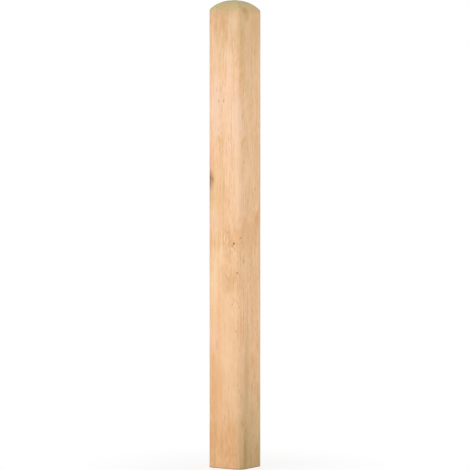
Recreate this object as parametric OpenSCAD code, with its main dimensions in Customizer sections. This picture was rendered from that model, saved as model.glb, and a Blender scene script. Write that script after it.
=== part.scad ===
// Newel post: one length of planed softwood, rounded along its four
// arrises, its top rounded over towards all four faces and its foot
// sawn square. Millimetres, +Z up, foot centred on the origin.

/* [Body] */
// Width of the square section, face to face
post_w = 90; // [70:1:120]
// Height from the sawn foot to the crown of the top
post_h = 1015; // [900:5:1100]

/* [Edges] */
// Radius of the four long arrises
arris_r = 18; // [8:1:25]
// How far the top falls from its crown to the edge of each face
top_rise = 32; // [15:1:40]

/* [Colour] */
// Red of the bare timber
timber_red = 0.86; // [0:0.01:1]
// Green of the bare timber
timber_green = 0.66; // [0:0.01:1]
// Blue of the bare timber
timber_blue = 0.46; // [0:0.01:1]

/* [Hidden] */
$fn = 96;
// Half the section, and the distance out to the centre of an arris
half_w = post_w / 2;
arris_c = half_w - arris_r;
// Radius of the arch that meets each face top_rise below the crown
arch_r = (half_w * half_w + top_rise * top_rise) / (2 * top_rise);
// Height of the arch's centre line
arch_z = post_h - arch_r;
// How far the shapes that cut the top run past the section
over = 5;
cut_w = post_w + 2 * over;

// The section: a square with each corner turned to the arris radius
module section() {
    square([post_w, 2 * arris_c], center = true);
    square([2 * arris_c, post_w], center = true);
    for (x = [-arris_c, arris_c])
        for (y = [-arris_c, arris_c])
            translate([x, y])
                circle(r = arris_r);
}

// Outline of the arched top as seen square on to a face: straight sides
// up to the arch's centre line and the arch above it
module arch_outline() {
    translate([-arch_r, 0])
        square([2 * arch_r, arch_z]);
    translate([0, arch_z])
        circle(r = arch_r);
}

// The outline run straight through the post from face to face
module arch_run() {
    rotate([90, 0, 0])
        translate([0, 0, -cut_w / 2])
            linear_extrude(height = cut_w)
                arch_outline();
}

// One piece of timber: the section run up to the crown, rounded over
// first one way and then the other
module newel_post() {
    color([timber_red, timber_green, timber_blue])
        intersection() {
            linear_extrude(height = post_h + over)
                section();
            arch_run();
            rotate([0, 0, 90])
                arch_run();
        }
}

newel_post();
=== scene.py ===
# Newel post: one length of planed bare softwood with rounded arrises and a
# rounded-over top. Metres, foot on the floor at z = 0, +Z up along the post.
import itertools
import math

import bpy
import numpy as np
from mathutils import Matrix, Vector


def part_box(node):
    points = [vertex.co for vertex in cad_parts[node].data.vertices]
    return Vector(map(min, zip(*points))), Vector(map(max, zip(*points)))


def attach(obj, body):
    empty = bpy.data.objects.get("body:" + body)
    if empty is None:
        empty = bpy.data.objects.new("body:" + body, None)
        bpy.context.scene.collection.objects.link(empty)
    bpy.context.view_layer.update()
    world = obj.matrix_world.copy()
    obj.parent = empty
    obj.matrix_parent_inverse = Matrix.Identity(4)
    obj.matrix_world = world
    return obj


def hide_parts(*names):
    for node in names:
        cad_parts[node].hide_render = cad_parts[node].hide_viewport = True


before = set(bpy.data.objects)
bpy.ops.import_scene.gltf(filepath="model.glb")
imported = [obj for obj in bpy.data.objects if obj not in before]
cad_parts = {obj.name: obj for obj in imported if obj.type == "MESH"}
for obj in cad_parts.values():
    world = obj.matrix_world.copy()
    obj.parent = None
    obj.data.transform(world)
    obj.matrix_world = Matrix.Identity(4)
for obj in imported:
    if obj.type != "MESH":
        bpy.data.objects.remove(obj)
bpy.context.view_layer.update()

# ---- Camera ----
# A long lens a little above half the post's height, turned so that the front
# face fills the left of the post and the right face the rest.
POST_HALF, _, POST_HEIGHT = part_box("newel_post")[1]

CAMERA_TURN = math.radians(33.5)
CAMERA_BACK = 4.4
CAMERA_HEIGHT = 0.58
CAMERA_AIM_HEIGHT = 0.4973 * POST_HEIGHT
CAMERA_LENS_MM = 154.9

camera_data = bpy.data.cameras.new("camera")
camera_data.lens = CAMERA_LENS_MM
camera_data.sensor_width = 36
camera = bpy.data.objects.new("camera", camera_data)
bpy.context.scene.collection.objects.link(camera)
camera.location = (
    CAMERA_BACK * math.sin(CAMERA_TURN),
    -CAMERA_BACK * math.cos(CAMERA_TURN),
    CAMERA_HEIGHT,
)
down_to_aim = math.atan2(CAMERA_HEIGHT - CAMERA_AIM_HEIGHT, CAMERA_BACK)
camera.rotation_euler = (math.pi / 2 - down_to_aim, 0, CAMERA_TURN)
bpy.context.scene.camera = camera

# ---- Studio: floor, room and lamps ----
# A white floor runs back into an evenly lit white room. Two soft boxes stand
# in front of the post and two behind it, a little above its top.
WHITE = (1, 1, 1, 1)
FLOOR_HALF = 40
FLOOR_PAINT = (0.9, 0.9, 0.9, 1)
# How white the floor is of itself, close to the post, where the shadow
# shows, and further off, and the distances between which that changes
FLOOR_GLOW = (0.78, 1.0)
GLOW_RUN = (0.05, 0.42)
ROOM_LIGHT = 0.55
LAMP_AWAY = 2.0
LAMP_HEIGHT = 1.3
LAMP_SIZE = 0.8
# Each soft box's turn from the front face in degrees, and its watts
SOFT_BOXES = {
    "front_left_box": (-30, 9.4),
    "front_right_box": (30, 10.1),
    "back_right_box": (140, 8.8),
    "back_left_box": (220, 8.0),
}


def feed(tree, socket, value):
    """Gives a socket another node's output, or a plain value."""
    if isinstance(value, bpy.types.NodeSocket):
        tree.links.new(value, socket)
    else:
        socket.default_value = value


def plain_node(tree, kind, values=None, **settings):
    """Adds one node with its settings, and its inputs by name or number."""
    made = tree.nodes.new(kind)
    for name, setting in settings.items():
        setattr(made, name, setting)
    for name, value in (values or {}).items():
        feed(tree, made.inputs[name], value)
    return made


def seen_or_mirrored(tree):
    """1 for what the camera sees, straight, in gloss or through glass."""
    rays = plain_node(tree, "ShaderNodeLightPath").outputs
    either = plain_node(
        tree,
        "ShaderNodeMath",
        {0: rays["Is Camera Ray"], 1: rays["Is Glossy Ray"]},
        operation="MAXIMUM",
    ).outputs[0]
    return plain_node(
        tree,
        "ShaderNodeMath",
        {0: either, 1: rays["Is Transmission Ray"]},
        operation="MAXIMUM",
    ).outputs[0]


floor_material = bpy.data.materials.new("studio_floor")
floor_material.use_nodes = True
tree = floor_material.node_tree
tree.nodes.clear()
matt = plain_node(tree, "ShaderNodeBsdfDiffuse", {"Color": FLOOR_PAINT})
glow = plain_node(tree, "ShaderNodeEmission", {"Color": WHITE, "Strength": 1.0})
floor_place = plain_node(tree, "ShaderNodeTexCoord").outputs["Object"]
floor_distance = plain_node(
    tree, "ShaderNodeVectorMath", {0: floor_place}, operation="LENGTH"
).outputs["Value"]
whiteness = plain_node(
    tree,
    "ShaderNodeMapRange",
    {
        "Value": floor_distance,
        "From Min": GLOW_RUN[0],
        "From Max": GLOW_RUN[1],
        "To Min": FLOOR_GLOW[0],
        "To Max": FLOOR_GLOW[1],
    },
    interpolation_type="SMOOTHSTEP",
).outputs[0]
seen = plain_node(
    tree, "ShaderNodeMath", {0: seen_or_mirrored(tree), 1: whiteness}, operation="MULTIPLY"
).outputs[0]
both = plain_node(
    tree, "ShaderNodeMixShader", {0: seen, 1: matt.outputs[0], 2: glow.outputs[0]}
)
plain_node(tree, "ShaderNodeOutputMaterial", {"Surface": both.outputs[0]})

floor_mesh = bpy.data.meshes.new("studio_floor")
floor_mesh.from_pydata(
    [
        (-FLOOR_HALF, -FLOOR_HALF, 0),
        (FLOOR_HALF, -FLOOR_HALF, 0),
        (FLOOR_HALF, FLOOR_HALF, 0),
        (-FLOOR_HALF, FLOOR_HALF, 0),
    ],
    [],
    [(0, 1, 2, 3)],
)
floor_mesh.materials.append(floor_material)
floor = bpy.data.objects.new("studio_floor", floor_mesh)
bpy.context.scene.collection.objects.link(floor)

room = bpy.data.worlds.new("white_room")
bpy.context.scene.world = room
room.use_nodes = True
tree = room.node_tree
tree.nodes.clear()
soft = plain_node(tree, "ShaderNodeBackground", {"Color": WHITE, "Strength": ROOM_LIGHT})
white = plain_node(tree, "ShaderNodeBackground", {"Color": WHITE, "Strength": 1.0})
both = plain_node(
    tree,
    "ShaderNodeMixShader",
    {0: seen_or_mirrored(tree), 1: soft.outputs[0], 2: white.outputs[0]},
)
plain_node(tree, "ShaderNodeOutputWorld", {"Surface": both.outputs[0]})


def soft_box(name, turn, watts):
    """A square soft box at a turn from the front face, aimed at the post."""
    lamp_data = bpy.data.lights.new(name, "AREA")
    lamp_data.size = LAMP_SIZE
    lamp_data.energy = watts
    lamp = bpy.data.objects.new(name, lamp_data)
    bpy.context.scene.collection.objects.link(lamp)
    lamp.location = (LAMP_AWAY * math.sin(turn), -LAMP_AWAY * math.cos(turn), LAMP_HEIGHT)
    down_to_post = math.atan2(LAMP_HEIGHT - POST_HEIGHT / 2, LAMP_AWAY)
    lamp.rotation_euler = (math.pi / 2 - down_to_post, 0, turn)


for name, (turn, watts) in SOFT_BOXES.items():
    soft_box(name, math.radians(turn), watts)

# ---- Post ----
# One length of slow-grown softwood sawn to one side of the tree's heart, so
# the front face shows broad flat figure and the right face close straight
# grain. It is planed, its arrises and top are moulded round, its foot is sawn.
# The arris's radius and the top's fall to the middle of a side give the arch's
# radius, half the flat of a side, the walk round one side, and where the top
# springs from.
ARRIS = 0.018
TOP_FALL = 0.032
ARCH = (POST_HALF**2 + TOP_FALL**2) / (2 * TOP_FALL)
FLAT_HALF = POST_HALF - ARRIS
SIDE_RUN = 2 * FLAT_HALF + ARRIS * math.pi / 2
SPRING = POST_HEIGHT - TOP_FALL

# Steps of the mesh from the middle of a side to an arris, and up the post,
# with closer rows at the foot and under the rounded top. The rows bend up to
# meet the edge of the top over the last run.
HALF_STEPS = 44
ROW_GAP = 0.0042
EDGE_ROWS = (0.0004, 0.001, 0.002, 0.0036)
LIFT_RUN = 0.06
# Over what height the hip between the two arches is sanded soft
HIP_SOFTNESS = 0.0016
TINY = 1e-9

# The tree's heart runs up behind the back face, and each ring is one year. The
# heart sways in x and y: how far, how many radians a metre, from what turn.
HEART = (0.012, 0.080)
HEART_SWAY = ((0.003, 5.1, 0.8), (0.005, 3.3, 2.0))
RING_WIDTH = 0.0025
TAPER = 0.010
# Swells of the rings and fibres: how high, how far apart each way, which draw
LONG_SWELL = (0.0016, (0.035, 0.035, 0.26), 11)
SHORT_SWELL = (0.0004, (0.009, 0.009, 0.10), 12)
SIDE_SWELL = (0.0016, (0.05, 0.05, 0.20), 13)
KNOT_SWELL = (0.0005, (0.006, 0.006, 0.014), 14)
# Near a knot, how far the fibres part, and how fast their crowding dies away
FIBRES_PART = 0.8
CROWDING_FADE = 0.35


def drift(places, sizes, seed):
    """Smooth random swells from -1 to 1, about the given sizes apart."""
    cells = places / np.array(sizes)
    corner = np.floor(cells).astype(int)
    part = cells - corner
    part = part * part * (3 - 2 * part)
    corner -= corner.min(0)
    swells = np.random.default_rng(seed).uniform(-1, 1, corner.max(0) + 2)
    total = np.zeros(len(places))
    for step in itertools.product((0, 1), repeat=3):
        share = np.where(step, part, 1 - part).prod(1)
        total += share * swells[tuple((corner + step).T)]
    return total


def around(walk):
    """Points of the section's outline, and the way out of it, at each walk
    of 0 to 4 sides anticlockwise from the back left arris."""
    side = np.floor(walk)
    # A front side is drawn, and quarter turns bring it round to each of the four
    along = (walk - side - 0.5) * SIDE_RUN
    turn = np.clip(np.abs(along) - FLAT_HALF, 0, None) / ARRIS * np.sign(along)
    across = np.clip(along, -FLAT_HALF, FLAT_HALF) + ARRIS * np.sin(turn)
    out = FLAT_HALF + ARRIS * np.cos(turn)
    quarter = -1j * 1j**side
    place = (across - 1j * out) * quarter
    return np.stack([place.real, place.imag], 1)


def grid_walks():
    """Where each point of a square grid lies: its ring's share of the way
    out from the middle, and its walk round that ring."""
    size = 2 * HALF_STEPS + 1
    share = np.zeros((size, size))
    walk = np.zeros((size, size))
    for ring in range(1, HALF_STEPS + 1):
        step = np.arange(2 * ring)
        for side, (i, j) in enumerate(
            [(-ring, ring - step), (step - ring, -ring), (ring, step - ring), (ring - step, ring)]
        ):
            share[i + HALF_STEPS, j + HALF_STEPS] = ring / HALF_STEPS
            walk[i + HALF_STEPS, j + HALF_STEPS] = side + step / (2 * ring)
    return share.ravel(), walk.ravel()


def arch_height(across):
    """How high an arch stands this far across from the post's middle."""
    return POST_HEIGHT - ARCH + np.sqrt(np.clip(ARCH**2 - across**2, 0, None))


def top_height(x, y):
    """The lower of the two arches, with the hip between them sanded soft."""
    one, other = arch_height(x), arch_height(y)
    outward = np.maximum(np.abs(x), np.abs(y)) / POST_HALF
    soft = HIP_SOFTNESS * outward**2 + TINY
    meet = np.clip(0.5 + 0.5 * (other - one) / soft, 0, 1)
    return other + (one - other) * meet - soft * meet * (1 - meet)


def outline_ring():
    """The grid points round the outside, anticlockwise from back left."""
    size = 2 * HALF_STEPS + 1
    last = size - 1
    steps = np.arange(last)
    i = np.concatenate([0 * steps, steps, 0 * steps + last, last - steps])
    j = np.concatenate([last - steps, 0 * steps, steps, 0 * steps + last])
    return i * size + j


grid_share, grid_walk = grid_walks()
edge = outline_ring()
outline = around(grid_walk)
arch_turn = math.asin(POST_HALF / ARCH)
top_plan = outline * (np.sin(grid_share * arch_turn) / math.sin(arch_turn))[:, None]
top_points = np.column_stack([top_plan, top_height(*top_plan.T)])
foot_points = np.column_stack([outline * grid_share[:, None], np.zeros(len(outline))])

middle_count = round((SPRING - 2 * EDGE_ROWS[-1]) / ROW_GAP)
rows = np.concatenate(
    [
        EDGE_ROWS,
        np.linspace(EDGE_ROWS[-1], SPRING - EDGE_ROWS[-1], middle_count)[1:-1],
        SPRING - np.array(EDGE_ROWS[::-1]),
    ]
)
edge_plan = outline[edge]
edge_lift = top_points[edge, 2] - SPRING
lift_share = np.clip((rows - SPRING + LIFT_RUN) / LIFT_RUN, 0, 1) ** 2
side_points = np.empty((len(rows), len(edge), 3))
side_points[:, :, :2] = edge_plan
side_points[:, :, 2] = rows[:, None] + lift_share[:, None] * edge_lift

grid_count = len(outline)
points = np.concatenate([foot_points, side_points.reshape(-1, 3), top_points])
rings = np.concatenate(
    [
        edge[None],
        grid_count + np.arange(len(rows) * len(edge)).reshape(len(rows), -1),
        grid_count + len(rows) * len(edge) + edge[None],
    ]
)
below, above = rings[:-1], rings[1:]
side_faces = np.stack(
    [below, np.roll(below, -1, 1), np.roll(above, -1, 1), above], 2
).reshape(-1, 4)
cells = np.arange(grid_count).reshape(2 * HALF_STEPS + 1, -1)
grid_faces = np.stack(
    [cells[:-1, :-1], cells[1:, :-1], cells[1:, 1:], cells[:-1, 1:]], 2
).reshape(-1, 4)
faces = np.concatenate(
    [grid_faces[:, ::-1], side_faces, grid_faces + len(points) - grid_count]
)

# Where limbs and twigs left the tree: the place on the surface where each
# comes out, how far it pushed the rings, and over what width and height.
SWELLS = [
    ((-0.040, -0.042, 0.630), 0.0070, 0.012, 0.040),
    ((0.011, -0.045, 0.418), 0.0040, 0.012, 0.030),
    ((-0.014, -0.045, 0.732), 0.0032, 0.010, 0.022),
    ((0.027, -0.045, 0.486), 0.0024, 0.007, 0.018),
    ((0.040, -0.040, 0.755), 0.0026, 0.008, 0.040),
    ((0.045, 0.017, 0.538), 0.0034, 0.010, 0.022),
    ((-0.045, 0.012, 0.300), 0.0050, 0.011, 0.026),
    ((0.010, 0.045, 0.790), 0.0045, 0.010, 0.024),
]
# The round knots that stand as shallow hollows, ragged where bark came away:
# the middle of each, its half width, its half height and its depth.
HOLLOWS = [
    ((-0.0355, -0.0430, 0.6295), 0.0045, 0.0075, 0.0009),
    ((-0.0450, 0.0120, 0.3000), 0.0045, 0.0080, 0.0004),
    ((0.0100, 0.0450, 0.7900), 0.0055, 0.0070, 0.0004),
]
# How ragged the hollows are, how far apart their rags, and which draw
HOLLOW_RAGS = (0.35, (0.003, 0.003, 0.006), 23)
# How deep the saw's and the planer's waves go, how far apart, and which draw
SAW_WAVES = (0.00018, (0.02, 0.02, 0.12), 21)
PLANER_WAVES = (0.00005, (0.006, 0.006, 0.05), 22)
# How grey the hips go, over what half width, what share of that the front
# right and back left ones take, and how level the top has to be for the grey
# to start, and how much more for all of it.
HIP_WEAR_AND_SHADE = 0.7
HIP_WEAR_AND_SHADE_HALF = 0.0032
OTHER_HIP_SHARE = 0.4
HIP_SLOPE = (0.15, 0.2)
# How far from the axis the crown is worn grey and painted with shade, over what run that fades
# in, and how ragged its edge is
CROWN_WORN_AND_SHADED = 0.032
CROWN_FADE = 0.019
CROWN_RAGS = (0.22, (0.013, 0.013, 0.05), 24)


def swell(places, reach, sizes, seed):
    """Smooth random swells that reach so far each way."""
    return reach * drift(places, sizes, seed)


def grain_at(places):
    """Where each place lay in the tree (its distance out from the heart with
    the rings' swells taken up, its distance across, and its height), and how
    far the rings crowd there."""
    x, y, z = places.T
    heart_x, heart_y = [
        middle + reach * np.sin(pace * z + start)
        for middle, (reach, pace, start) in zip(HEART, HEART_SWAY)
    ]
    out = np.hypot(x - heart_x, y - heart_y) + TAPER * z
    out += swell(places, *LONG_SWELL)
    out += swell(places, *SHORT_SWELL)
    across = x + swell(places, *SIDE_SWELL)
    crowding = np.zeros(len(places))
    for place, push, width, height in SWELLS:
        away = (places - place) / (width, width, height)
        near = np.exp(-(away**2).sum(1))
        out -= push * near
        across -= FIBRES_PART * (x - place[0]) * near
        crowding = np.maximum(crowding, np.exp(-CROWDING_FADE * (away**2).sum(1)))
    out += crowding * swell(places, *KNOT_SWELL)
    return np.stack([out, across, z], 1), crowding


post_mesh = bpy.data.meshes.new("newel_post_timber")
post_mesh.from_pydata(points, [], faces)
post_mesh.update()
normals = np.empty(len(points) * 3, np.float32)
post_mesh.vertex_normals.foreach_get("vector", normals)
normals = normals.reshape(-1, 3)
grain, crowding = grain_at(points)

# The faces waver a little from the saw and the planer, and sink at the knots
sunk = np.zeros(len(points))
for depth, sizes, seed in (SAW_WAVES, PLANER_WAVES):
    sunk += depth * (0.5 + 0.5 * drift(points, sizes, seed))
ragged = 1 + swell(points, *HOLLOW_RAGS)
for place, width, height, depth in HOLLOWS:
    away = (points - place) / (width, width, height)
    sunk += depth * np.exp(-((away**2).sum(1) * ragged))
on_foot = points[:, 2] < TINY
shaped = points - normals * sunk[:, None]
shaped[on_foot, 2] = sunk[on_foot]
post_mesh.vertices.foreach_set("co", shaped.astype(np.float32).ravel())
post_mesh.update()

# The crown and the hips between the arches go grey: partly weathering, partly painted shade along
# the top's rim
hip_gap = np.abs(np.abs(points[:, 0]) - np.abs(points[:, 1]))
wear_and_shade = HIP_WEAR_AND_SHADE * np.exp(-((hip_gap / HIP_WEAR_AND_SHADE_HALF) ** 2))
wear_and_shade *= np.clip((normals[:, 2] - HIP_SLOPE[0]) / HIP_SLOPE[1], 0, 1)
wear_and_shade *= np.where(points[:, 0] * points[:, 1] > 0, 1.0, OTHER_HIP_SHARE)
from_axis = np.hypot(points[:, 0], points[:, 1])
from_axis *= 1 + swell(points, *CROWN_RAGS)
crown = np.clip((CROWN_WORN_AND_SHADED - from_axis) / CROWN_FADE, 0, 1) * (points[:, 2] > SPRING)
wear_and_shade = np.maximum(wear_and_shade, crown * crown * (3 - 2 * crown))

for name, kind, field, values in (
    ("grain", "FLOAT_VECTOR", "vector", grain),
    ("wear_and_shade", "FLOAT", "value", wear_and_shade),
    ("crowding", "FLOAT", "value", crowding),
    ("cross_cut", "FLOAT", "value", normals[:, 2]),
):
    layer = post_mesh.attributes.new(name, kind, "POINT")
    layer.data.foreach_set(field, values.astype(np.float32).ravel())

# The skin laid flat: the four sides in one strip round the post, and the top
# and the foot as two panels above it.
STRIP_TOP = 0.80
TOP_PANEL = (0.02, 0.82, 0.46, 0.17)
FOOT_PANEL = (0.52, 0.82, 0.46, 0.17)
arch_reach = np.arcsin(np.clip(top_plan / ARCH, -1, 1)) / arch_turn


def panel(flat, place):
    """Corners of a grid's faces on a panel, from a plan of -1 to 1."""
    left, low, wide, tall = place
    spread = np.array([left, low]) + (0.5 + 0.5 * flat) * (wide, tall)
    return spread[grid_faces]


side_count = len(edge)
strip_u = np.arange(side_count + 1) / side_count
ring_height = np.concatenate([[0], rows, [SPRING + edge_lift.mean()]])
strip_v = STRIP_TOP * ring_height / POST_HEIGHT
low_high = np.stack([strip_v[:-1], strip_v[1:]], 1)
strip = np.empty((len(rows) + 1, side_count, 4, 2))
strip[..., 0] = np.stack([strip_u[:-1], strip_u[1:], strip_u[1:], strip_u[:-1]], 1)
strip[..., 1] = low_high[:, [0, 0, 1, 1]][:, None]
skin = np.concatenate(
    [
        panel(outline * grid_share[:, None] / POST_HALF, FOOT_PANEL)[:, ::-1].reshape(-1, 2),
        strip.reshape(-1, 2),
        panel(arch_reach, TOP_PANEL).reshape(-1, 2),
    ]
)
skin_map = post_mesh.uv_layers.new(name="OFBake")
skin_map.data.foreach_set("uv", skin.astype(np.float32).ravel())
post_mesh.shade_smooth()

post = bpy.data.objects.new("newel_post_timber", post_mesh)
bpy.context.scene.collection.objects.link(post)
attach(post, "root")
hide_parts("newel_post")


def seen_colour(red, green, blue):
    """A colour as the eye reads it, out of 255, as linear light."""
    shares = [part / 255 for part in (red, green, blue)]
    return [
        share / 12.92 if share <= 0.04045 else ((share + 0.055) / 1.055) ** 2.4
        for share in shares
    ] + [1]


def work_out(tree, operation, *values, clamp=False):
    """One sum on numbers."""
    return plain_node(
        tree, "ShaderNodeMath", dict(enumerate(values)), operation=operation, use_clamp=clamp
    ).outputs[0]


def move(tree, operation, *values):
    """One sum on places."""
    return plain_node(
        tree, "ShaderNodeVectorMath", dict(enumerate(values)), operation=operation
    ).outputs[0]


def rise(tree, value, start, end, low=0.0, high=1.0):
    """A smooth rise from low to high as the value goes from start to end."""
    return plain_node(
        tree,
        "ShaderNodeMapRange",
        {"Value": value, "From Min": start, "From Max": end, "To Min": low, "To Max": high},
        interpolation_type="SMOOTHSTEP",
    ).outputs[0]


def tint(tree, share, under, over, way="MIX"):
    """Lays one colour over another, or deepens it by another."""
    return plain_node(
        tree, "ShaderNodeMix", {0: share, 6: under, 7: over}, data_type="RGBA", blend_type=way
    ).outputs[2]


def colour_band(tree, value, *stops):
    """Colours that follow one another as the value goes from 0 to 1."""
    band = plain_node(tree, "ShaderNodeValToRGB", {"Fac": value})
    places = band.color_ramp.elements
    while len(places) < len(stops):
        places.new(0.5)
    for place, (at, colour) in zip(places, stops):
        place.position = at
        place.color = seen_colour(*colour)
    return band.outputs[0]


def streaks(tree, grain, across, along, detail=2.0):
    """Noise drawn out along the fibres, its features per metre each way."""
    drawn = move(tree, "MULTIPLY", grain, (across, across, along))
    return plain_node(
        tree, "ShaderNodeTexNoise", {"Vector": drawn, "Scale": 1.0, "Detail": detail}
    ).outputs[0]


def new_group(name, takes, gives):
    """An empty node group with its inputs and outputs named."""
    group = bpy.data.node_groups.new(name, "ShaderNodeTree")
    for socket, kind in takes:
        group.interface.new_socket(socket, in_out="INPUT", socket_type=kind)
    for socket in gives:
        group.interface.new_socket(socket, in_out="OUTPUT", socket_type="NodeSocketFloat")
    return group, group.nodes.new("NodeGroupInput"), group.nodes.new("NodeGroupOutput")


# A mark in the wood, such as a knot: its dark heart and the stained collar
# round it, their edges drawn in and out by a swing.
mark_group, taken, given = new_group(
    "mark_in_wood",
    [
        ("Place", "NodeSocketVector"),
        ("Centre", "NodeSocketVector"),
        ("Size", "NodeSocketVector"),
        ("Swing", "NodeSocketFloat"),
    ],
    ["Heart", "Collar"],
)
away = move(
    mark_group,
    "DIVIDE",
    move(mark_group, "SUBTRACT", taken.outputs["Place"], taken.outputs["Centre"]),
    taken.outputs["Size"],
)
far = plain_node(mark_group, "ShaderNodeVectorMath", {0: away}, operation="LENGTH")
length = work_out(mark_group, "ADD", far.outputs["Value"], taken.outputs["Swing"])
feed(mark_group, given.inputs["Heart"], rise(mark_group, length, 0.7, 1.1, 1.0, 0.0))
feed(mark_group, given.inputs["Collar"], rise(mark_group, length, 0.8, 2.6, 1.0, 0.0))

# Each mark's centre, its half size across, into the face and up, and how
# strongly its heart and its collar show.
KNOTS = [
    # The bark-edged knot on the front left arris, and the brown patch by it
    ((-0.0358, -0.0428, 0.6290), (0.0032, 0.0060, 0.0066), 0.42, 0.50),
    ((-0.0290, -0.0450, 0.6255), (0.0020, 0.0040, 0.0044), 0.25, 0.55),
    # Pin knots on the front face and the front right arris
    ((0.0270, -0.0450, 0.4870), (0.0018, 0.0030, 0.0022), 0.95, 0.40),
    ((0.0225, -0.0450, 0.4810), (0.0011, 0.0030, 0.0016), 0.45, 0.25),
    ((0.0105, -0.0450, 0.5110), (0.0011, 0.0030, 0.0015), 0.30, 0.25),
    ((0.0400, -0.0395, 0.4990), (0.0012, 0.0030, 0.0018), 0.40, 0.30),
    ((0.0340, -0.0440, 0.4235), (0.0014, 0.0030, 0.0020), 0.75, 0.35),
    ((0.0230, -0.0450, 0.3560), (0.0011, 0.0030, 0.0017), 0.35, 0.25),
    ((0.0320, -0.0445, 0.2980), (0.0014, 0.0030, 0.0024), 0.15, 0.30),
    # Twig knot on the right face
    ((0.0450, 0.0170, 0.5380), (0.0045, 0.0040, 0.0070), 0.03, 0.28),
    # Round tight knots on the left and back faces
    ((-0.0450, 0.0120, 0.3000), (0.0040, 0.0055, 0.0080), 0.80, 0.60),
    ((0.0100, 0.0450, 0.7900), (0.0050, 0.0040, 0.0070), 0.75, 0.60),
]
# Short dark resin streaks
RESIN = [
    ((-0.0125, -0.0450, 0.7940), (0.0009, 0.0030, 0.0040), 0.55),
    ((0.0005, -0.0450, 0.7950), (0.0010, 0.0030, 0.0045), 0.65),
    ((-0.0180, -0.0450, 0.8200), (0.0009, 0.0030, 0.0060), 0.30),
    ((-0.0070, -0.0450, 0.8220), (0.0009, 0.0030, 0.0070), 0.35),
    ((-0.0170, -0.0450, 0.2670), (0.0011, 0.0030, 0.0120), 0.28),
    ((0.0415, -0.0375, 0.4900), (0.0010, 0.0030, 0.0045), 0.20),
    ((0.0440, -0.0325, 0.4480), (0.0014, 0.0030, 0.0050), 0.22),
    # Fine lines that spread down from the pin knot at 0.4235
    ((0.0250, -0.0450, 0.4080), (0.0008, 0.0030, 0.0090), 0.38),
    ((0.0315, -0.0445, 0.4120), (0.0007, 0.0030, 0.0080), 0.38),
]
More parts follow.
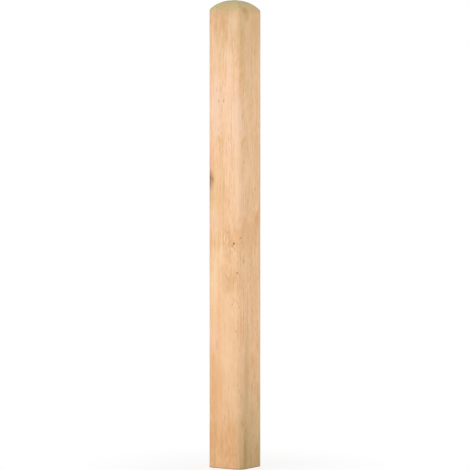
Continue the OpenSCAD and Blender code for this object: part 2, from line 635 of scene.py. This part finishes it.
# Broad stains: where, how big, what colour and how strong
STAINS = [
    # Pink above the bark-edged knot, brown beside it, weathered grey over and
    # below it
    ((-0.0350, -0.0435, 0.6700), (0.0060, 0.0060, 0.0180), (240, 162, 132), 0.70),
    ((-0.0320, -0.0445, 0.6400), (0.0036, 0.0060, 0.0050), (218, 142, 108), 0.70),
    ((-0.0400, -0.0380, 0.6500), (0.0026, 0.0040, 0.0260), (190, 152, 130), 0.55),
    ((-0.0385, -0.0400, 0.6050), (0.0040, 0.0050, 0.0170), (178, 152, 120), 0.60),
    ((-0.0320, -0.0440, 0.6260), (0.0055, 0.0060, 0.0080), (204, 150, 104), 0.75),
    ((-0.0376, -0.0410, 0.6250), (0.0038, 0.0055, 0.0115), (98, 92, 72), 1.00),
    ((-0.0285, -0.0448, 0.6190), (0.0030, 0.0060, 0.0080), (206, 150, 106), 0.60),
    # Brown at the top of the front right arris, and across the front under it
    ((0.0440, -0.0200, 0.9820), (0.0070, 0.0060, 0.0095), (203, 156, 90), 0.90),
    ((0.0430, -0.0290, 0.9880), (0.0040, 0.0050, 0.0040), (190, 142, 82), 0.55),
    ((-0.0020, -0.0380, 0.9960), (0.0060, 0.0080, 0.0060), (224, 168, 138), 0.40),
    ((-0.0060, -0.0450, 0.9790), (0.0140, 0.0060, 0.0035), (204, 156, 108), 0.40),
    ((-0.0250, -0.0450, 0.9680), (0.0130, 0.0060, 0.0120), (222, 164, 124), 0.40),
    # Olive down the front right arris and the right face, darkest at the foot, partly a stain and
    # partly painted shade, and a brown patch on the arris
    ((0.0440, -0.0310, 0.9000), (0.0045, 0.0070, 0.0500), (210, 176, 124), 0.20),
    ((0.0450, 0.0150, 0.9700), (0.0080, 0.0200, 0.0200), (222, 180, 122), 0.50),
    ((0.0450, 0.0000, 0.8800), (0.0050, 0.0200, 0.0500), (226, 184, 132), 0.35),
    ((0.0445, -0.0275, 0.1600), (0.0024, 0.0032, 0.0700), (182, 150, 98), 0.24),
    ((0.0446, -0.0270, 0.0350), (0.0022, 0.0028, 0.0270), (142, 120, 70), 0.55),
    ((0.0450, -0.0205, 0.2050), (0.0040, 0.0042, 0.0750), (196, 160, 106), 0.34),
    ((0.0360, -0.0415, 0.4150), (0.0060, 0.0070, 0.0150), (214, 164, 108), 0.26),
    # Pale sapwood up the front face, and round the front right arris
    ((0.0120, -0.0450, 0.7600), (0.0060, 0.0060, 0.0900), (255, 222, 194), 0.55),
    ((0.0350, -0.0425, 0.6600), (0.0060, 0.0060, 0.0600), (255, 216, 180), 0.60),
    ((0.0345, -0.0430, 0.7600), (0.0070, 0.0070, 0.0400), (250, 214, 188), 0.55),
    ((-0.0100, -0.0450, 0.3300), (0.0260, 0.0100, 0.0600), (255, 214, 172), 0.50),
    ((-0.0250, -0.0450, 0.4100), (0.0120, 0.0100, 0.0400), (255, 216, 172), 0.40),
    ((0.0050, -0.0450, 0.1900), (0.0260, 0.0100, 0.0500), (250, 208, 166), 0.45),
    ((-0.0320, -0.0450, 0.8000), (0.0160, 0.0120, 0.1000), (252, 214, 180), 0.50),
    ((-0.0150, -0.0450, 0.7850), (0.0080, 0.0060, 0.0400), (250, 212, 192), 0.45),
    ((-0.0240, -0.0450, 0.5350), (0.0090, 0.0060, 0.0200), (255, 214, 190), 0.40),
    ((-0.0240, -0.0450, 0.2850), (0.0080, 0.0060, 0.0200), (255, 214, 188), 0.45),
    ((0.0400, -0.0400, 0.5700), (0.0060, 0.0060, 0.0350), (255, 216, 184), 0.38),
    ((0.0380, -0.0410, 0.0500), (0.0050, 0.0060, 0.0250), (240, 200, 156), 0.35),
    # Orange, pink, yellow and olive stripes down the left of the front face, a
    # brown patch under its pin knots, and the ring round the twig knot
    ((-0.0280, -0.0450, 0.1900), (0.0024, 0.0060, 0.0800), (246, 172, 106), 0.60),
    ((-0.0125, -0.0450, 0.2300), (0.0032, 0.0060, 0.1200), (248, 178, 120), 0.52),
    ((-0.0205, -0.0450, 0.1700), (0.0014, 0.0060, 0.0800), (212, 178, 134), 0.50),
    ((-0.0110, -0.0450, 0.6000), (0.0030, 0.0060, 0.0550), (255, 190, 160), 0.50),
    ((-0.0205, -0.0450, 0.5900), (0.0026, 0.0060, 0.0600), (238, 204, 142), 0.50),
    ((-0.0030, -0.0450, 0.5800), (0.0018, 0.0060, 0.0350), (234, 202, 142), 0.40),
    ((0.0100, -0.0450, 0.4040), (0.0095, 0.0060, 0.0150), (212, 154, 102), 0.32),
    ((0.0450, 0.0170, 0.5380), (0.0070, 0.0090, 0.0130), (236, 172, 112), 0.45),
]

# The wood's colours as the eye reads them, out of 255
YEAR_COLOURS = (
    (0.0, (248, 205, 165)),
    (0.3, (251, 212, 171)),
    (0.55, (249, 206, 158)),
    (0.8, (247, 199, 148)),
    (1.0, (244, 202, 152)),
)
STRIPE_COLOURS = (
    (0.0, (240, 206, 150)),
    (0.35, (250, 202, 158)),
    (0.65, (255, 208, 172)),
    (1.0, (250, 190, 150)),
)
BUNDLE_COLOURS = (
    (0.0, (218, 184, 130)),
    (0.28, (246, 190, 130)),
    (0.45, (250, 207, 160)),
    (0.6, (255, 220, 182)),
    (0.78, (250, 194, 156)),
    (1.0, (230, 188, 134)),
)
LATE_WOOD = (226, 168, 110)
DARK_THREAD = (222, 170, 114)
PALE_THREAD = (255, 224, 188)
FINE_FIBRE = (214, 162, 106)
DARK_DASH = (212, 156, 104)
PALE_DASH = (255, 226, 192)
DARK_PATCH = (234, 180, 124)
PALE_PATCH = (255, 216, 174)
SMALL_PATCH = (255, 210, 170)
END_GRAIN = (209, 191, 133)
END_GRAIN_LINE = (168, 145, 92)
END_GRAIN_RAY = (180, 160, 112)
# Grey of the crown and hips: partly weathering, partly painted shade
WEATHERED_AND_SHADED = (146, 138, 104)
KNOT_COLLAR = (206, 138, 78)
KNOT_HEART = (104, 66, 38)

# What painted shade with a deeper tone at the foot, painted shade under the top and a painted
# line of contact shade at the foot's edge leave of the light, red, green, blue
FOOT_SHADE_AND_TONE_LEAVES = (0.90, 0.84, 0.74, 1)
RIGHT_FOOT_SHADE_AND_TONE_LEAVES = (0.73, 0.84, 0.82, 1)
TOP_SHADE_LEAVES = (0.84, 0.87, 0.84, 1)
CONTACT_SHADE_LEAVES = (0.62, 0.62, 0.60, 1)

# How many features a metre each kind of fibre has, across and along, and how
# many finer layers it has
STRIPES = (110, 1.6, 1.0)
BUNDLES = (300, 2.6)
THREADS = (520, 22)
FINE_FIBRES = (1000, 75)
DASHES = (420, 85, 1.0)
DASH_PATCHES = (40, 14, 1.0)
BROAD_PATCHES = (26, 11, 2.0)
SMALL_PATCHES = (55, 34, 2.0)
STAIN_RAGS = (170, 26)
KNOT_RAGS = (520, 300)
RAYS = (900, 160, 0)

timber = bpy.data.materials.new("softwood_timber")
timber.use_nodes = True
tree = timber.node_tree
tree.nodes.clear()
places = plain_node(tree, "ShaderNodeTexCoord").outputs["Object"]
rightward, _, upright = plain_node(tree, "ShaderNodeSeparateXYZ", {0: places}).outputs
grain_in = plain_node(tree, "ShaderNodeAttribute", attribute_name="grain").outputs["Vector"]
cut_in = plain_node(tree, "ShaderNodeAttribute", attribute_name="cross_cut").outputs["Fac"]
crowd_in = plain_node(tree, "ShaderNodeAttribute", attribute_name="crowding").outputs["Fac"]
wear_and_shade_in = plain_node(tree, "ShaderNodeAttribute", attribute_name="wear_and_shade").outputs["Fac"]
out_in = plain_node(tree, "ShaderNodeSeparateXYZ", {0: grain_in}).outputs[0]

# One ring a year: pale early wood that darkens into a line of late wood, the
# more so where the rings crowd
rings_in = work_out(tree, "DIVIDE", out_in, RING_WIDTH)
year = work_out(tree, "FLOOR", rings_in)
season = work_out(tree, "FRACT", rings_in)
late_wood = work_out(
    tree,
    "MULTIPLY",
    rise(tree, season, 0.35, 0.92),
    rise(tree, season, 0.94, 1.0, 1.0, 0.0),
)
year_draw = plain_node(
    tree, "ShaderNodeTexWhiteNoise", {"W": year}, noise_dimensions="1D"
).outputs["Value"]
colour = colour_band(tree, year_draw, *YEAR_COLOURS)
late_share = work_out(tree, "MULTIPLY", late_wood, rise(tree, year_draw, 0.0, 1.0, 0.2, 0.5))
late_share = work_out(tree, "MULTIPLY", late_share, rise(tree, crowd_in, 0.1, 1.0, 1.0, 1.9))
colour = tint(tree, late_share, colour, seen_colour(*LATE_WOOD))

# Bundles of fibres: yellow, orange, pink and olive streaks, long and short,
# strongest on the left of the front face
flank = rise(tree, rightward, 0.030, -0.010)
stripes = streaks(tree, grain_in, *STRIPES)
stripe_colour = colour_band(tree, rise(tree, stripes, 0.3, 0.7), *STRIPE_COLOURS)
stripe_share = rise(tree, flank, 0.0, 1.0, 0.20, 0.62)
colour = tint(tree, stripe_share, colour, stripe_colour)
bundles = streaks(tree, grain_in, *BUNDLES)
bundle_colour = colour_band(tree, rise(tree, bundles, 0.3, 0.7), *BUNDLE_COLOURS)
bundle_share = rise(tree, flank, 0.0, 1.0, 0.32, 0.55)
colour = tint(tree, bundle_share, colour, bundle_colour)
threads = streaks(tree, grain_in, *THREADS)
dark_thread = work_out(
    tree, "MULTIPLY", rise(tree, threads, 0.45, 0.78), rise(tree, flank, 0.0, 1.0, 0.45, 0.7)
)
pale_thread = rise(tree, threads, 0.45, 0.22, 0.0, 0.35)
colour = tint(tree, dark_thread, colour, seen_colour(*DARK_THREAD))
colour = tint(tree, pale_thread, colour, seen_colour(*PALE_THREAD))
fine = streaks(tree, grain_in, *FINE_FIBRES)
colour = tint(tree, rise(tree, fine, 0.42, 0.72, 0.0, 0.6), colour, seen_colour(*FINE_FIBRE))

# Short dashes where the plane cut up through the fibres, most near knots
dashes = streaks(tree, grain_in, *DASHES)
dash_patch = streaks(tree, places, *DASH_PATCHES)
dash_share = work_out(tree, "MAXIMUM", rise(tree, dash_patch, 0.5, 0.7), crowd_in)
dark_dash = work_out(tree, "MULTIPLY", rise(tree, dashes, 0.52, 0.72, 0.0, 0.6), dash_share)
pale_dash = work_out(tree, "MULTIPLY", rise(tree, dashes, 0.45, 0.28, 0.0, 0.6), dash_share)
colour = tint(tree, dark_dash, colour, seen_colour(*DARK_DASH))
colour = tint(tree, pale_dash, colour, seen_colour(*PALE_DASH))

# Broad patches, a little darker or paler than the rest, and small pale ones
patches = streaks(tree, places, *BROAD_PATCHES)
patch_share = rise(tree, flank, 0.0, 1.0, 0.6, 1.0)
dark_patch = work_out(tree, "MULTIPLY", rise(tree, patches, 0.5, 0.72, 0.0, 0.8), patch_share)
pale_patch = work_out(tree, "MULTIPLY", rise(tree, patches, 0.5, 0.28, 0.0, 0.7), patch_share)
colour = tint(tree, dark_patch, colour, seen_colour(*DARK_PATCH))
colour = tint(tree, pale_patch, colour, seen_colour(*PALE_PATCH))
small_patch = rise(tree, streaks(tree, places, *SMALL_PATCHES), 0.5, 0.75, 0.0, 0.35)
colour = tint(tree, small_patch, colour, seen_colour(*SMALL_PATCH))

# Painted shade darkens the wood towards the foot, most of all on the right face, and the wood's
# tone deepens there too;
# painted shade also darkens it under the top. A painted line of contact shade runs along the edge
# of the foot.
# Painted shade towards the foot, together with a deeper tone of the wood
foot_shade_and_tone = rise(tree, upright, 0.30, -0.02)
colour = tint(tree, foot_shade_and_tone, colour, FOOT_SHADE_AND_TONE_LEAVES, "MULTIPLY")
# Painted shade on the right face towards the foot, together with a deeper tone of the wood
right_foot_shade_and_tone = work_out(tree, "MULTIPLY", foot_shade_and_tone, rise(tree, rightward, 0.024, 0.046))
colour = tint(tree, right_foot_shade_and_tone, colour, RIGHT_FOOT_SHADE_AND_TONE_LEAVES, "MULTIPLY")
# Painted shade under the top
painted_shade_under_top = rise(tree, upright, 0.82, 0.985)
colour = tint(tree, painted_shade_under_top, colour, TOP_SHADE_LEAVES, "MULTIPLY")
# Painted contact shade along the edge of the foot
painted_contact_shade = rise(tree, upright, 0.0035, 0.0005)
colour = tint(tree, painted_contact_shade, colour, CONTACT_SHADE_LEAVES, "MULTIPLY")

# End grain drinks in more light the more squarely the fibres are cut. Its
# rings and rays show, and the crown and hips are grey, partly weathered and partly painted shade.
end_cut = work_out(tree, "ABSOLUTE", cut_in)
rays = plain_node(
    tree,
    "ShaderNodeTexNoise",
    {"Vector": move(tree, "MULTIPLY", places, RAYS), "Scale": 1.0, "Detail": 1.0},
).outputs[0]
ray_share = rise(tree, rays, 0.45, 0.75, 0.0, 0.35)
end_colour = tint(tree, late_share, seen_colour(*END_GRAIN), seen_colour(*END_GRAIN_LINE))
end_colour = tint(tree, ray_share, end_colour, seen_colour(*END_GRAIN_RAY))
colour = tint(tree, rise(tree, end_cut, 0.12, 0.75, 0.0, 0.85), colour, end_colour)
# Painted shade on the crown and hips, together with weathering
wear_and_shade_share = work_out(tree, "MULTIPLY", wear_and_shade_in, rise(tree, rays, 0.3, 0.7, 0.5, 0.85))
colour = tint(tree, wear_and_shade_share, colour, seen_colour(*WEATHERED_AND_SHADED))


def mark(centre, size, swing):
    """One knot, streak or stain, with its heart and its collar."""
    return plain_node(
        tree,
        "ShaderNodeGroup",
        {"Place": places, "Centre": centre, "Size": size, "Swing": swing},
        node_tree=mark_group,
    ).outputs


# The stains go on first, each broken up by the fibres, then knots and resin
stain_swing = rise(tree, streaks(tree, grain_in, *STAIN_RAGS), 0.25, 0.75, -0.55, 0.55)
knot_swing = rise(tree, streaks(tree, places, *KNOT_RAGS), 0.25, 0.75, -0.3, 0.3)
bundle_breaks = rise(tree, bundles, 0.3, 0.65, 0.55, 1.0)
for centre, size, stain_colour, strength in STAINS:
    collar = mark(centre, size, stain_swing)["Collar"]
    share = work_out(tree, "MULTIPLY", collar, strength)
    share = work_out(tree, "MULTIPLY", share, bundle_breaks)
    colour = tint(tree, share, colour, seen_colour(*stain_colour))
hearts = 0.0
collars = 0.0
for centre, size, heart_strength, collar_strength in KNOTS:
    knot = mark(centre, size, knot_swing)
    heart = work_out(tree, "MULTIPLY", knot["Heart"], heart_strength)
    hearts = work_out(tree, "MAXIMUM", hearts, heart)
    collar = work_out(tree, "MULTIPLY", knot["Collar"], collar_strength)
    collars = work_out(tree, "MAXIMUM", collars, collar)
for centre, size, strength in RESIN:
    heart = work_out(tree, "MULTIPLY", mark(centre, size, knot_swing)["Heart"], strength)
    hearts = work_out(tree, "MAXIMUM", hearts, heart)
colour = tint(tree, collars, colour, seen_colour(*KNOT_COLLAR))
colour = tint(tree, hearts, colour, seen_colour(*KNOT_HEART))

height = work_out(
    tree,
    "ADD",
    work_out(tree, "MULTIPLY", fine, 0.6),
    work_out(tree, "MULTIPLY", late_wood, 0.4),
)
height = work_out(tree, "SUBTRACT", height, work_out(tree, "MULTIPLY", hearts, 0.8))
bump = plain_node(
    tree, "ShaderNodeBump", {"Strength": 0.35, "Distance": 0.0004, "Height": height}
).outputs[0]
surface = plain_node(
    tree,
    "ShaderNodeBsdfPrincipled",
    {
        "Base Color": colour,
        "Roughness": rise(tree, late_wood, 0.0, 1.0, 0.68, 0.52),
        "Normal": bump,
        "Specular IOR Level": 0.35,
    },
)
plain_node(tree, "ShaderNodeOutputMaterial", {"Surface": surface.outputs[0]})
post_mesh.materials.append(timber)

bpy.context.scene.view_settings.view_transform = "Standard"
